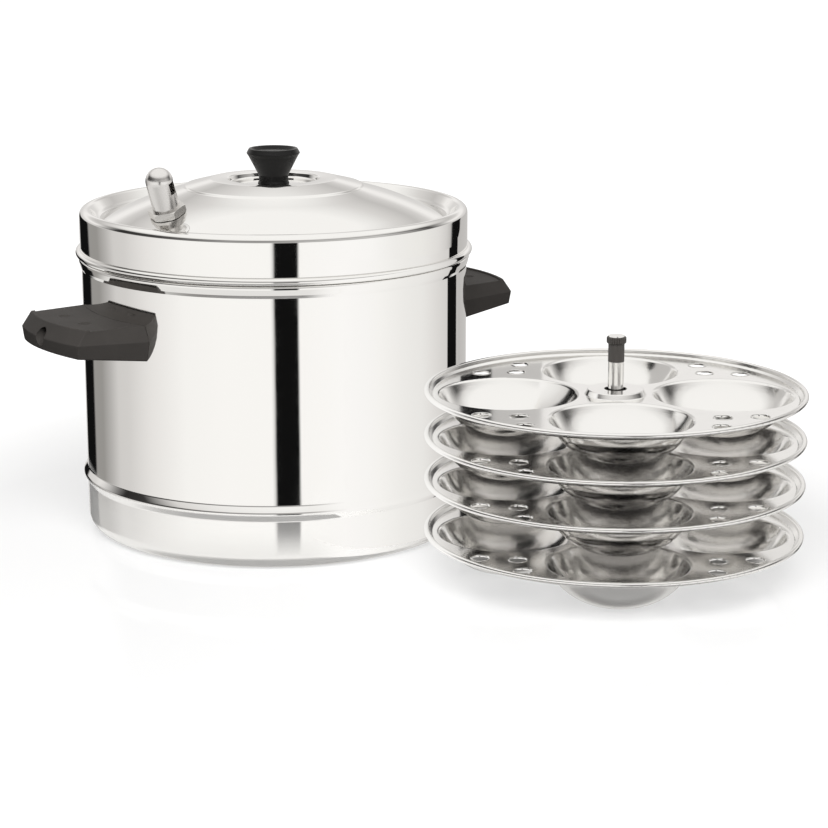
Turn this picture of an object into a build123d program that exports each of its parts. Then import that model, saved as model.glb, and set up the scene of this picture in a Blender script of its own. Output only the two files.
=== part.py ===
from build123d import *
import os
from math import atan, cos, degrees, radians, sin, sqrt, tan

os.makedirs("parts", exist_ok=True)

# An idli steamer: a deep pot with two side handles, a domed lid with a knob and a steam whistle,
# and a rack of four cupped plates on a centre rod, which stands beside the pot.
# Lengths are millimetres and angles degrees. The origin is the centre of the pot's base on the
# floor, +Z is up, and the two side handles lie along X.

# Clearances and overruns
running_gap = 0.05
loose_gap = 0.35
seat_gap = 0.3
handle_fit_gap = 0.1
cut_overrun = 5.0

# Pot
pot_radius = 110.0
pot_height = 157.6
pot_sheet = 1.0
base_corner_radius = 9.0
rib_height = 32.3
rib_width = 8.6
rib_projection = 2.6
rib_foot_radius = 2.0
rib_crest_radius = 2.4
rim_depth = 6.8
rim_projection = 1.5
rim_nose_radius = 1.3
rim_crest_share = 0.30
rim_root_share = 0.75

# Lid
lid_overhang = 0.6
lid_sheet = 0.8
lid_bead_radius = 2.0
lid_bead_projection = 2.6
lid_wall_height = 26.7
shoulder_radius = 4.0
ridge_width = 5.6
ridge_inner_radius = 2.5
moat_depth = 7.2
moat_width = 5.5
moat_fillet = 4.0
crown_rise = 15.4
crown_radius = 36.0
crown_edge_radius = 3.0
crown_drop = 3.6
crown_foot_radius = 50.4
crown_step_run = 0.8
crown_step_drop = 1.2
crown_crease_radius = 1.0
knee_drop = 11.4
knee_share = 0.472
dome_blend_reach = 13.2
recess_radius = 26.0
recess_depth = 3.1
recess_slant = 0.8
recess_fillet = 1.2
plug_clearance = 0.4
plug_depth = 7.4
plug_fold_radius = 0.9

# Lid knob and its fixing
knob_radius = 15.2
knob_height = 20.0
knob_rim_drop = 2.6
knob_band = 1.9
knob_rim_inset = 1.4
knob_cone_top_radius = 14.0
knob_cone_height = 10.8
knob_neck_radius = 8.4
knob_foot_flare = 0.6
knob_foot_height = 1.6
knob_dish_inset = 2.6
knob_dish_depth = 1.6
knob_edge_radius = 0.4
knob_screw_radius = 2.5
knob_insert_radius = 4.0
knob_insert_length = 9.0
knob_washer_radius = 7.5
knob_washer_thickness = 1.0
knob_screw_reach = 7.0
knob_screw_head_radius = 4.6
knob_screw_head_height = 3.0

# Steam vent and whistle
vent_inset = 8.5
vent_bearing = -157.6
vent_uprighting = 3.7
vent_bore_radius = 2.5
vent_thread_radius = 6.5
vent_pad_radius = 9.5
vent_pad_stand = 0.8
vent_pad_thickness = 2.4
vent_foot_radius = 7.8
vent_foot_height = 1.2
vent_barrel_height = 3.6
vent_collar_radius = 8.8
vent_collar_height = 3.0
vent_collar_chamfer = 0.6
vent_washer_radius = 9.9
vent_washer_thickness = 2.0
vent_spigot_radius = 5.0
vent_spigot_height = 11.0
vent_seal_radius = 8.5
vent_seal_thickness = 1.5
vent_back_nut_flats = 17.0
vent_back_nut_height = 4.0
vent_tail = 1.5
whistle_nut_flats = 18.0
whistle_nut_height = 4.2
whistle_nut_chamfer = 0.9
whistle_radius = 7.4
whistle_wall = 1.0
whistle_length = 22.9
whistle_slot_height = 6.6
whistle_slot_width = 8.5
whistle_slot_depth = 3.0
whistle_slot_from_top = 8.0
whistle_slot_bearing = 114.0
whistle_disc_thickness = 1.0
whistle_disc_bore = 1.2
whistle_disc_gap = 2.0

# Side handles and their fixing
handle_top_below_rim = 25.0
handle_reach = 39.0
handle_sagitta = 6.0
handle_top_setback = 5.5
handle_foot_setback = 0.5
handle_tip_half_width = 35.0
handle_wall_half_width = 40.0
handle_top_inset = 1.0
handle_top_wall_inset = 3.0
handle_foot_inset = 1.6
handle_belly_drop_tip = 7.8
handle_belly_drop_wall = 9.4
handle_foot_drop_tip = 14.8
handle_foot_drop_wall = 21.0
handle_lip_width = 2.0
handle_lip_height = 0.8
handle_inner_overlap = 12.0
handle_edge_radius = 0.9
dimple_radius = 3.8
dimple_depth = 0.9
dimple_row_reach = 17.5
dimple_row_offset = 12.6
screw_drop = 7.7
screw_radius = 2.5
screw_head_radius = 4.3
screw_head_height = 3.2
screw_slot_width = 1.1
screw_slot_depth = 1.4
screw_clearance = 0.3
screw_recess_radius = 5.0
screw_recess_depth = 14.0
washer_radius = 4.7
washer_thickness = 1.0
bracket_half_width = 17.0
bracket_half_height = 5.2
bracket_thickness = 1.5
bracket_boss_radius = 4.6
bracket_to_screw_seat = 14.0
bracket_pocket_gap = 0.3
screw_thread_engagement = 8.5

# Idli rack
plate_count = 4
plate_clearance = 6.5
plate_sheet = 0.8
plate_pitch = 24.4
plate_rim_rise = 3.5
plate_bead_radius = 1.4
plate_rim_width = 4.6
plate_rim_fillet = 1.2
cups_per_plate = 4
cup_edge_margin = 6.2
cup_gap = 3.7
cup_depth = 20.4
cup_wall_run = 12.6
cup_dish_radius = 34.0
cup_mouth_inset = 1.4
cup_lip_radius = 2.0
steam_hole_radius = 5.0
steam_hole_inner_inset = 28.5
steam_hole_outer_inset = 15.0
steam_hole_spread = 10.2
hub_margin = 3.7
hub_rise = 3.0
hub_slope = 1.4
hub_fillet = 0.7
hub_bore_radius = 6.15
rack_gap = 0.5
rack_bearing = -63.6
cup_bearing = -35.5
rod_radius = 4.25
rod_thread_radius = 4.0
rod_rise = 18.0
rod_stud_radius = 2.5
rod_stud_below_top = 0.6
rod_tail = 2.0
foot_washer_radius = 10.0
foot_washer_thickness = 1.5
foot_nut_flats = 13.0
foot_nut_height = 6.5
foot_nut_chamfer = 0.8
collar_radius = 7.5
collar_height = 4.0
spacer_radius = 8.0
grip_sleeve_radius = 4.35
grip_sleeve_length = 9.6
rack_knob_radius = 5.3
rack_knob_height = 3.7
rack_knob_chamfer = 0.5
knurl_count = 24
knurl_depth = 0.4
rack_knob_disc_radius = 4.5
rack_knob_disc_height = 0.5

# Heights and places that follow from the sizes above
lid_seat_height = pot_height + seat_gap
lid_radius = pot_radius + lid_overhang
ridge_height = lid_seat_height + lid_wall_height
moat_height = ridge_height - moat_depth
moat_radius = lid_radius - ridge_width - moat_width
crown_height = ridge_height + crown_rise
recess_height = crown_height - recess_depth
knee_height = crown_height - knee_drop
dome_top_radius = crown_foot_radius + crown_step_run
dome_top_height = crown_height - crown_drop - crown_step_drop
knee_radius = dome_top_radius + (moat_radius - dome_top_radius) * knee_share
dome_slope = (knee_height - moat_height) / (moat_radius - knee_radius)
inner_slope = (dome_top_height - knee_height) / (knee_radius - dome_top_radius)
dome_blend_radius = dome_blend_reach / tan((atan(dome_slope) - atan(inner_slope)) / 2)
vent_radius = moat_radius - vent_inset
vent_tilt = degrees(atan(dome_slope)) - vent_uprighting
vent_height = moat_height + (moat_radius - vent_radius) * dome_slope
vent_place = (
    Pos(vent_radius * cos(radians(vent_bearing)), vent_radius * sin(radians(vent_bearing)), vent_height)
    * Rot(0, 0, vent_bearing)
    * Rot(0, vent_tilt, 0)
)
handle_top_height = pot_height - handle_top_below_rim
screw_height = handle_top_height - screw_drop
bracket_boss_length = handle_reach - screw_recess_depth - bracket_to_screw_seat
lid_bead_reach = lid_radius + lid_bead_projection
plate_radius = pot_radius - pot_sheet - plate_clearance
cup_half_turn = radians(180 / cups_per_plate)
cup_field_radius = plate_radius - cup_edge_margin
cup_radius = (cup_field_radius * sin(cup_half_turn) - cup_gap / 2) / (1 + sin(cup_half_turn))
cup_pitch_radius = cup_field_radius - cup_radius
cup_floor_corner = cup_radius - cup_wall_run
hub_radius = cup_pitch_radius - cup_radius - hub_margin
steam_hole_inner_radius = plate_radius - steam_hole_inner_inset
steam_hole_outer_radius = plate_radius - steam_hole_outer_inset
rod_stud_length = grip_sleeve_length + seat_gap + rack_knob_height - rod_stud_below_top
rack_distance = lid_bead_reach + plate_radius + rack_gap
rack_x = rack_distance * cos(radians(rack_bearing))
rack_y = rack_distance * sin(radians(rack_bearing))
rack_place = Pos(rack_x, rack_y, 0) * Rot(0, 0, cup_bearing)
stand = (Align.CENTER, Align.CENTER, Align.MIN)


def turned(section):
    """A section drawn in X and Y, with Y as height, turned round the Z axis."""
    return revolve(Plane.XZ * section, axis=Axis.Z)


def sheet_ring(points, radii, sheet, side):
    """Sheet metal turned round Z, from the line of its outer face and its thickness."""
    line = FilletPolyline(*points, radius=radii)
    return turned(make_face(line.offset_2d(sheet, side=side)))


def filleted_ring(points, radii):
    """A solid turned round Z from a closed outline with a radius at each corner."""
    return turned(make_face(FilletPolyline(*points, radius=radii, close=True)))


def bead(radius, centre_radius, centre_height):
    """A round bead turned round Z."""
    return turned(Pos(centre_radius, centre_height) * Circle(radius))


def tube(outer_radius, bore_radius, low, high):
    """An upright tube, washer or bush."""
    length = high - low
    bore = Cylinder(bore_radius, length, align=stand)
    return Pos(0, 0, low) * (Cylinder(outer_radius, length, align=stand) - bore)


def hex_nut(flats, bore_radius, low, high, chamfer):
    """A hexagon nut with its corners turned off at both ends."""
    height = high - low
    hexagon = extrude(RegularPolygon(flats / 2, 6, major_radius=False), height)
    corner = flats / sqrt(3)
    blank = filleted_ring(
        [
            (0, 0),
            (corner - chamfer, 0),
            (corner, chamfer * tan(radians(30))),
            (corner, height - chamfer * tan(radians(30))),
            (corner - chamfer, height),
            (0, height),
        ],
        0,
    )
    return Pos(0, 0, low) * ((hexagon & blank) - Cylinder(bore_radius, height, align=stand))


def along_x(shape):
    """Turns a shape that was built up Z so that it points along +X."""
    return Rot(0, 90, 0) * shape


def save(shape, name):
    """Writes one piece, or one group of like pieces, to its own file."""
    export_step(shape, f"parts/{name}.step")
    print(name, round(shape.volume, 1))


def group(shapes):
    """Separate solids kept together in one file."""
    return Compound(children=[solid for shape in shapes for solid in shape.solids()])


# Pot
def make_pot():
    half_rib = rib_width / 2
    shell = sheet_ring(
        [
            (0, 0),
            (pot_radius, 0),
            (pot_radius, rib_height - half_rib),
            (pot_radius + rib_projection, rib_height),
            (pot_radius, rib_height + half_rib),
            (pot_radius, pot_height - rim_depth / 2),
        ],
        [base_corner_radius, rib_foot_radius, rib_crest_radius, rib_foot_radius],
        pot_sheet,
        Side.LEFT,
    )
    rim = filleted_ring(
        [
            (pot_radius - pot_sheet, pot_height - rim_depth),
            (pot_radius, pot_height - rim_depth),
            (pot_radius + rim_projection / 2, pot_height - rim_depth * rim_root_share),
            (pot_radius + rim_projection, pot_height - rim_depth * rim_crest_share),
            (pot_radius + rim_projection, pot_height),
            (pot_radius - pot_sheet, pot_height),
        ],
        [0, 0, rim_nose_radius, rim_nose_radius, rim_nose_radius, 0],
    )
    return shell + rim


# Lid
def make_lid():
    plug_radius = pot_radius - pot_sheet - plug_clearance
    shell = sheet_ring(
        [
            (knob_screw_radius + screw_clearance, recess_height),
            (recess_radius - recess_slant, recess_height),
            (recess_radius, crown_height),
            (crown_radius, crown_height),
            (crown_foot_radius, crown_height - crown_drop),
            (dome_top_radius, dome_top_height),
            (knee_radius, knee_height),
            (moat_radius, moat_height),
            (moat_radius + moat_width, ridge_height),
            (lid_radius, ridge_height),
            (lid_radius, lid_seat_height),
            (plug_radius, lid_seat_height),
            (plug_radius, lid_seat_height - plug_depth),
        ],
        [
            recess_fillet,
            recess_fillet,
            crown_edge_radius,
            crown_crease_radius,
            crown_crease_radius,
            dome_blend_radius,
            moat_fillet,
            ridge_inner_radius,
            shoulder_radius,
            plug_fold_radius,
            plug_fold_radius,
        ],
        lid_sheet,
        Side.RIGHT,
    )
    edge = bead(lid_bead_radius, lid_bead_reach - lid_bead_radius, lid_seat_height + lid_bead_radius)
    pad_low = vent_pad_stand - vent_pad_thickness
    pad = Pos(0, 0, pad_low) * Cylinder(vent_pad_radius, vent_pad_thickness, align=stand)
    hole = Cylinder(vent_thread_radius + running_gap, cut_overrun * 2)
    return shell + edge + vent_place * pad - vent_place * hole


def make_lid_knob():
    top = recess_height + knob_height
    rim = top - knob_rim_drop
    cone_top = rim - knob_band
    cone_foot = cone_top - knob_cone_height
    body = filleted_ring(
        [
            (0, recess_height),
            (knob_neck_radius + knob_foot_flare, recess_height),
            (knob_neck_radius, recess_height + knob_foot_height),
            (knob_neck_radius, cone_foot),
            (knob_cone_top_radius, cone_top),
            (knob_radius, rim),
            (knob_radius - knob_rim_inset, top),
            (knob_radius - knob_dish_inset, top),
            (knob_radius - knob_dish_inset - knob_dish_depth, top - knob_dish_depth),
            (0, top - knob_dish_depth),
        ],
        [0, 0, knob_edge_radius, knob_foot_height, 0] + [knob_edge_radius] * 3 + [0, 0],
    )
    socket = Pos(0, 0, recess_height) * Cylinder(knob_insert_radius, knob_insert_length, align=stand)
    return body - socket


def make_knob_fixing():
    insert_top = recess_height + knob_insert_length
    insert = tube(knob_insert_radius, knob_screw_radius + running_gap, recess_height, insert_top)
    washer_top = recess_height - lid_sheet
    washer_low = washer_top - knob_washer_thickness
    washer = tube(knob_washer_radius, knob_screw_radius + screw_clearance, washer_low, washer_top)
    shank_length = knob_washer_thickness + lid_sheet + knob_screw_reach
    shank = Pos(0, 0, washer_low) * Cylinder(knob_screw_radius, shank_length, align=stand)
    head_low = washer_low - knob_screw_head_height
    head = Pos(0, 0, head_low) * Cylinder(knob_screw_head_radius, knob_screw_head_height, align=stand)
    slot = Pos(0, 0, head_low) * Box(knob_screw_head_radius * 3, screw_slot_width, screw_slot_depth * 2)
    return insert, washer, shank + head - slot


# Steam vent and whistle, each built up its own axis from the lid's outer face
collar_low = vent_pad_stand + vent_foot_height + vent_barrel_height
collar_high = collar_low + vent_collar_height
vent_washer_high = collar_high + vent_washer_thickness
whistle_nut_low = vent_washer_high + seat_gap
whistle_nut_high = whistle_nut_low + whistle_nut_height
whistle_top = whistle_nut_high + whistle_length
vent_pad_low = vent_pad_stand - vent_pad_thickness
vent_seal_low = vent_pad_low - vent_seal_thickness
vent_back_nut_low = vent_seal_low - vent_back_nut_height
vent_low = vent_back_nut_low - vent_tail
spigot_top = collar_high + vent_spigot_height


def make_vent_stem():
    body = filleted_ring(
        [
            (vent_bore_radius, vent_low),
            (vent_thread_radius, vent_low),
            (vent_thread_radius, vent_pad_stand),
            (vent_foot_radius, vent_pad_stand),
            (vent_thread_radius, vent_pad_stand + vent_foot_height),
            (vent_thread_radius, collar_low),
            (vent_collar_radius - vent_collar_chamfer, collar_low),
            (vent_collar_radius, collar_low + vent_collar_chamfer),
            (vent_collar_radius, collar_high - vent_collar_chamfer),
            (vent_collar_radius - vent_collar_chamfer, collar_high),
            (vent_spigot_radius, collar_high),
            (vent_spigot_radius, spigot_top),
            (vent_bore_radius, spigot_top),
        ],
        0,
    )
    return vent_place * body


def make_whistle_cap():
    barrel_length = whistle_length - whistle_radius
    outer = Pos(0, 0, whistle_nut_high) * Cylinder(whistle_radius, barrel_length, align=stand)
    outer += Pos(0, 0, whistle_top - whistle_radius) * Sphere(whistle_radius)
    inner_radius = whistle_radius - whistle_wall
    inner = Pos(0, 0, whistle_nut_high) * Cylinder(inner_radius, barrel_length, align=stand)
    inner += Pos(0, 0, whistle_top - whistle_radius) * Sphere(inner_radius)
    hang = (Align.CENTER, Align.CENTER, Align.MAX)
    below = Pos(0, 0, whistle_nut_high) * Cylinder(whistle_radius * 2, whistle_length, align=hang)
    slot_middle = whistle_top - whistle_slot_from_top - whistle_slot_height / 2
    slot_edge = whistle_radius - whistle_slot_depth
    slot = Pos(slot_edge, 0, slot_middle) * Box(
        whistle_radius,
        whistle_slot_width,
        whistle_slot_height,
        align=(Align.MIN, Align.CENTER, Align.CENTER),
    )
    cap = outer - inner - below - slot
    return vent_place * Rot(0, 0, whistle_slot_bearing) * cap


def make_whistle_disc():
    low = spigot_top + whistle_disc_gap
    fit_radius = whistle_radius - whistle_wall
    disc = tube(fit_radius, whistle_disc_bore, low, low + whistle_disc_thickness)
    return vent_place * disc


# Side handles, built pointing along +X with the pot's axis as origin
def handle_level(reach, tip_half, wall_half, drop_wall, drop_tip):
    """One flat outline of the handle: straight sides and a bowed outer end."""
    inner_reach = pot_radius - handle_inner_overlap
    corner_reach = reach - handle_sagitta

    def height_at(place):
        share = (place - inner_reach) / (reach - inner_reach)
        return handle_top_height - drop_wall + (drop_wall - drop_tip) * share

    inner_z = height_at(inner_reach)
    corner_z = height_at(corner_reach)
    edges = [
        Line((inner_reach, -wall_half, inner_z), (corner_reach, -tip_half, corner_z)),
        ThreePointArc(
            (corner_reach, -tip_half, corner_z),
            (reach, 0, height_at(reach)),
            (corner_reach, tip_half, corner_z),
        ),
        Line((corner_reach, tip_half, corner_z), (inner_reach, wall_half, inner_z)),
        Line((inner_reach, wall_half, inner_z), (inner_reach, -wall_half, inner_z)),
    ]
    return make_face(edges)


def make_handle():
    tip = pot_radius + handle_reach
    foot = handle_level(
        tip - handle_foot_setback,
        handle_tip_half_width - handle_foot_inset,
        handle_wall_half_width - handle_foot_inset,
        handle_foot_drop_wall,
        handle_foot_drop_tip,
    )
    belly = handle_level(
        tip,
        handle_tip_half_width,
        handle_wall_half_width,
        handle_belly_drop_wall,
        handle_belly_drop_tip,
    )
    top_tip_half = handle_tip_half_width - handle_top_inset
    top_reach = tip - handle_top_setback
    top = handle_level(top_reach, top_tip_half, handle_wall_half_width - handle_top_wall_inset, 0, 0)
    body = loft([foot, belly, top], ruled=True)
    body = fillet(body.edges(), handle_edge_radius)
    bow_radius = (top_tip_half**2 + handle_sagitta**2) / (2 * handle_sagitta)
    recess = Pos(top_reach - bow_radius, 0, handle_top_height - handle_lip_height) * Cylinder(
        bow_radius - handle_lip_width, cut_overrun, align=stand
    )
    wall = Cylinder(pot_radius + handle_fit_gap, pot_height * 2)
    body = body - wall - recess
    dimple_ball = (dimple_radius**2 + dimple_depth**2) / (2 * dimple_depth)
    dimple_height = handle_top_height - handle_lip_height - dimple_depth + dimple_ball
    for across in (-dimple_row_offset, dimple_row_offset):
        body -= Pos(pot_radius + dimple_row_reach, across, dimple_height) * Sphere(dimple_ball)
    pad_pocket = Cylinder(pot_radius + bracket_thickness + bracket_pocket_gap, pot_height * 2) & (
        Pos(pot_radius, 0, screw_height)
        * Box(
            handle_inner_overlap * 2,
            (bracket_half_width + bracket_pocket_gap) * 2,
            (bracket_half_height + bracket_pocket_gap) * 2,
        )
    )
    boss_tip = pot_radius + bracket_boss_length
    boss_pocket = Cylinder(bracket_boss_radius + bracket_pocket_gap, bracket_boss_length, align=stand)
    clearance = Cylinder(screw_radius + screw_clearance, handle_reach, align=stand)
    seat = tip - screw_recess_depth
    counterbore = Cylinder(screw_recess_radius, screw_recess_depth + cut_overrun, align=stand)
    body -= pad_pocket
    body -= Pos(boss_tip - bracket_boss_length, 0, screw_height) * along_x(boss_pocket)
    body -= Pos(pot_radius, 0, screw_height) * along_x(clearance)
    body -= Pos(seat, 0, screw_height) * along_x(counterbore)
    return body


def make_bracket():
    wall_space = Cylinder(pot_radius, pot_height * 2)
    pad = (Cylinder(pot_radius + bracket_thickness, pot_height * 2) - wall_space) & (
        Pos(pot_radius, 0, screw_height)
        * Box(handle_inner_overlap * 2, bracket_half_width * 2, bracket_half_height * 2)
    )
    boss = Cylinder(bracket_boss_radius, bracket_boss_length, align=stand)
    boss = Pos(pot_radius, 0, screw_height) * along_x(boss) - Cylinder(pot_radius, pot_height * 2)
    bore = Cylinder(screw_radius + running_gap, bracket_boss_length, align=stand)
    bore_start = pot_radius + bracket_thickness
    return pad + boss - Pos(bore_start, 0, screw_height) * along_x(bore)


def make_handle_screw():
    seat = pot_radius + handle_reach - screw_recess_depth
    head_base = seat + washer_thickness
    shank_start = pot_radius + bracket_boss_length - screw_thread_engagement
    shank = Cylinder(screw_radius, head_base - shank_start, align=stand)
    head = Cylinder(screw_head_radius, screw_head_height, align=stand)
    slot = Box(screw_slot_width, screw_head_radius * 3, screw_slot_depth * 2)
    screw = Pos(shank_start, 0, screw_height) * along_x(shank)
    screw += Pos(head_base, 0, screw_height) * along_x(head)
    return screw - Pos(head_base + screw_head_height, 0, screw_height) * along_x(slot)


def make_handle_washer():
    seat = pot_radius + handle_reach - screw_recess_depth
    washer = tube(washer_radius, screw_radius + running_gap, 0, washer_thickness)
    return Pos(seat, 0, screw_height) * along_x(washer)


# Idli rack, built round Z at the origin and then moved beside the pot
def web_height(number):
    """Top face of a plate's flat web; plate 1 is the highest."""
    plates_below = plate_count - number
    if plates_below == 0:
        return cup_depth + plate_sheet
    return cup_depth + plate_sheet + plates_below * plate_pitch + collar_height


def make_plate():
    """One plate with the top face of its web at height zero."""
    bead_centre = plate_radius - plate_bead_radius
    bead_height = plate_rim_rise - plate_bead_radius
    disc = sheet_ring(
        [
            (hub_bore_radius, hub_rise),
            (hub_radius, hub_rise),
            (hub_radius + hub_slope, 0),
            (plate_radius - plate_rim_width, 0),
            (bead_centre, bead_height),
        ],
        [hub_fillet, hub_fillet, plate_rim_fillet],
        plate_sheet,
        Side.RIGHT,
    )
    disc += bead(plate_bead_radius, bead_centre, bead_height)
    cup = sheet_ring(
        [
            (0, -cup_depth),
            (cup_floor_corner, -cup_depth),
            (cup_radius - cup_mouth_inset, 0),
            (cup_radius, 0),
        ],
        [cup_dish_radius, cup_lip_radius],
        plate_sheet,
        Side.RIGHT,
    )
    opening = Cylinder(cup_radius, cut_overrun)
    hole = Cylinder(steam_hole_radius, cut_overrun)
    for index in range(cups_per_plate):
        turn = 360 / cups_per_plate * index
        disc -= Rot(0, 0, turn) * Pos(cup_pitch_radius, 0) * opening
        disc += Rot(0, 0, turn) * Pos(cup_pitch_radius, 0) * cup
        gap_turn = turn + 180 / cups_per_plate
        disc -= Rot(0, 0, gap_turn) * Pos(steam_hole_inner_radius, 0) * hole
        for spread in (-steam_hole_spread, steam_hole_spread):
            disc -= Rot(0, 0, gap_turn + spread) * Pos(steam_hole_outer_radius, 0) * hole
    return disc


hub_underside = hub_rise - plate_sheet
rod_shoulder = web_height(plate_count) + hub_underside
rod_top = web_height(1) + rod_rise
sleeve_top = rod_top + grip_sleeve_length
rack_knob_low = sleeve_top + seat_gap
rack_knob_high = rack_knob_low + rack_knob_height
foot_washer_low = rod_shoulder - foot_washer_thickness
foot_nut_low = foot_washer_low - foot_nut_height
collar_base = web_height(plate_count) + hub_rise


def make_rod():
    tail = foot_nut_low - rod_tail
    body = Pos(0, 0, tail) * Cylinder(rod_thread_radius, rod_shoulder - tail, align=stand)
    body += Pos(0, 0, rod_shoulder) * Cylinder(rod_radius, rod_top - rod_shoulder, align=stand)
    body += Pos(0, 0, rod_top) * Cylinder(rod_stud_radius, rod_stud_length, align=stand)
    return rack_place * body


def make_spacer(number):
    """The tube that carries a plate, standing on the hub of the plate below or on the collar."""
    low = web_height(number + 1) + hub_rise + seat_gap
    if number == plate_count - 1:
        low += collar_height
    high = web_height(number) + hub_underside - seat_gap
    return rack_place * tube(spacer_radius, rack_knob_radius + loose_gap, low, high)


def make_rack_knob():
    body = filleted_ring(
        [
            (rod_stud_radius + running_gap, rack_knob_low),
            (rack_knob_radius - rack_knob_chamfer, rack_knob_low),
            (rack_knob_radius, rack_knob_low + rack_knob_chamfer),
            (rack_knob_radius, rack_knob_high - rack_knob_chamfer),
            (rack_knob_radius - rack_knob_chamfer, rack_knob_high),
            (rod_stud_radius + running_gap, rack_knob_high),
        ],
        0,
    )
    groove_side = knurl_depth * sqrt(2)
    groove = Rot(0, 0, 45) * Box(groove_side, groove_side, rack_knob_height * 2)
    middle = (rack_knob_low + rack_knob_high) / 2
    for index in range(knurl_count):
        body -= Rot(0, 0, 360 / knurl_count * index) * Pos(rack_knob_radius, 0, middle) * groove
    return rack_place * body


def make_rack_knob_disc():
    disc = Cylinder(rack_knob_disc_radius, rack_knob_disc_height, align=stand)
    return rack_place * Pos(0, 0, rack_knob_high) * disc


# The pieces, written one file each
half_turn = Rot(0, 0, 180)
handle = make_handle()
bracket = make_bracket()
handle_screw = make_handle_screw()
handle_washer = make_handle_washer()
save(make_pot(), "pot_body")
save(handle, "right_handle")
save(half_turn * handle, "left_handle")
save(bracket, "right_bracket")
save(half_turn * bracket, "left_bracket")
save(group([handle_screw, half_turn * handle_screw]), "handle_screws")
save(group([handle_washer, half_turn * handle_washer]), "handle_washers")

knob_insert, knob_washer, knob_screw = make_knob_fixing()
save(make_lid(), "lid_shell")
save(make_lid_knob(), "lid_knob")
save(knob_insert, "knob_insert")
save(knob_washer, "knob_washer")
save(knob_screw, "knob_screw")

save(make_vent_stem(), "vent_stem")
save(
    vent_place * tube(vent_seal_radius, vent_thread_radius + running_gap, vent_seal_low, vent_pad_low),
    "vent_seal",
)
save(
    vent_place
    * hex_nut(
        vent_back_nut_flats,
        vent_thread_radius + running_gap,
        vent_back_nut_low,
        vent_seal_low,
        whistle_nut_chamfer,
    ),
    "vent_back_nut",
)
save(
    vent_place * tube(vent_washer_radius, vent_spigot_radius + running_gap, collar_high, vent_washer_high),
    "vent_washer",
)
save(
    vent_place
    * hex_nut(
        whistle_nut_flats,
        vent_spigot_radius + running_gap,
        whistle_nut_low,
        whistle_nut_high,
        whistle_nut_chamfer,
    ),
    "whistle_nut",
)
save(make_whistle_cap(), "whistle_cap")
save(make_whistle_disc(), "whistle_disc")

save(make_rod(), "rack_rod")
save(
    rack_place * tube(collar_radius, rod_radius + running_gap, collar_base, collar_base + collar_height),
    "rod_collar",
)
save(
    rack_place * tube(foot_washer_radius, rod_thread_radius + running_gap, foot_washer_low, rod_shoulder),
    "foot_washer",
)
save(
    rack_place
    * hex_nut(
        foot_nut_flats,
        rod_thread_radius + running_gap,
        foot_nut_low,
        foot_washer_low,
        foot_nut_chamfer,
    ),
    "foot_nut",
)
plate = make_plate()
for number in range(1, plate_count + 1):
    save(rack_place * Pos(0, 0, web_height(number)) * plate, f"plate_{number}")
for number in range(1, plate_count):
    save(make_spacer(number), f"spacer_{number}")
save(rack_place * tube(grip_sleeve_radius, rod_stud_radius + running_gap, rod_top, sleeve_top), "grip_sleeve")
save(make_rack_knob(), "rack_knob")
save(make_rack_knob_disc(), "rack_knob_disc")
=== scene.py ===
# %% [markdown]
# # An idli steamer in polished steel
# An idli steamer is a deep pot with a domed lid, and a rack of cupped plates that stands inside it
# over boiling water. Here the rack stands beside the pot. The solids were made in CAD, so this
# lesson starts by loading them, and every piece below is put where they say, in metres.

from math import atan2, cos, degrees, pi, radians, sin, tan

import bpy
from mathutils import Matrix, Vector


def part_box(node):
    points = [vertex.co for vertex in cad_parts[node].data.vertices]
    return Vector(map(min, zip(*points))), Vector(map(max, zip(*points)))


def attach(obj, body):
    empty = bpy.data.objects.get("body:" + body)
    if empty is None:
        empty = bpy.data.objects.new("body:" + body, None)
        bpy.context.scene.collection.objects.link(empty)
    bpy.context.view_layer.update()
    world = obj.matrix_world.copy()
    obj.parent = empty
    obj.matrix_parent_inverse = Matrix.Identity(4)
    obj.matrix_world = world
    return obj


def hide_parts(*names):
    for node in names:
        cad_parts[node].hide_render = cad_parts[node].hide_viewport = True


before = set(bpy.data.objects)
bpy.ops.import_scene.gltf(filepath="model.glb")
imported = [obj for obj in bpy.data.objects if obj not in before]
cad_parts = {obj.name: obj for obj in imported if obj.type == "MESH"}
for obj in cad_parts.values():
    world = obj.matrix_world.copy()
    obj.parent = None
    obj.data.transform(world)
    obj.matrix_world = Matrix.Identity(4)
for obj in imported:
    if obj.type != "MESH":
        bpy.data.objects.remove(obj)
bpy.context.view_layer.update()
MM = 0.001

# %% [markdown]
# ## The camera
# A product photo of shiny pans is taken with a long lens from a little above, so that upright walls
# stay nearly upright. The lens is about 104 mm on a 36 mm sensor, and the camera looks down by 13.6
# degrees. The pot's handles lie along X, and the camera looks in along a line 34 degrees from them.

# %% Set the camera
camera_data = bpy.data.cameras.new("studio_camera")
camera_data.sensor_width = 36.0
camera_data.lens = 104.35
camera_data.clip_start = 0.05
camera_data.clip_end = 50.0
camera = bpy.data.objects.new("studio_camera", camera_data)
camera.location = (-0.6942, -1.1722, 0.391)
camera.rotation_euler = (radians(90.0 - 13.62), 0.0, radians(-34.0))
bpy.context.scene.collection.objects.link(camera)
bpy.context.scene.camera = camera
print("camera at", tuple(camera.location))

# %% [markdown]
# ## A few small helpers
# Colours are easiest to read as the hex codes of a paint chart, but a shader wants linear light, so
# one function turns one into the other. The second adds a node with its settings and its links, and
# every material, tree and world below is made with it. The others set a colour ramp, and find the
# middle of a solid.


# %% Colours and nodes
def colour(code):
    """Turns an sRGB hex code into linear red, green, blue and alpha."""
    parts = [int(code[place : place + 2], 16) / 255 for place in (1, 3, 5)]
    return tuple(c / 12.92 if c <= 0.04045 else ((c + 0.055) / 1.055) ** 2.4 for c in parts) + (1.0,)


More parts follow.
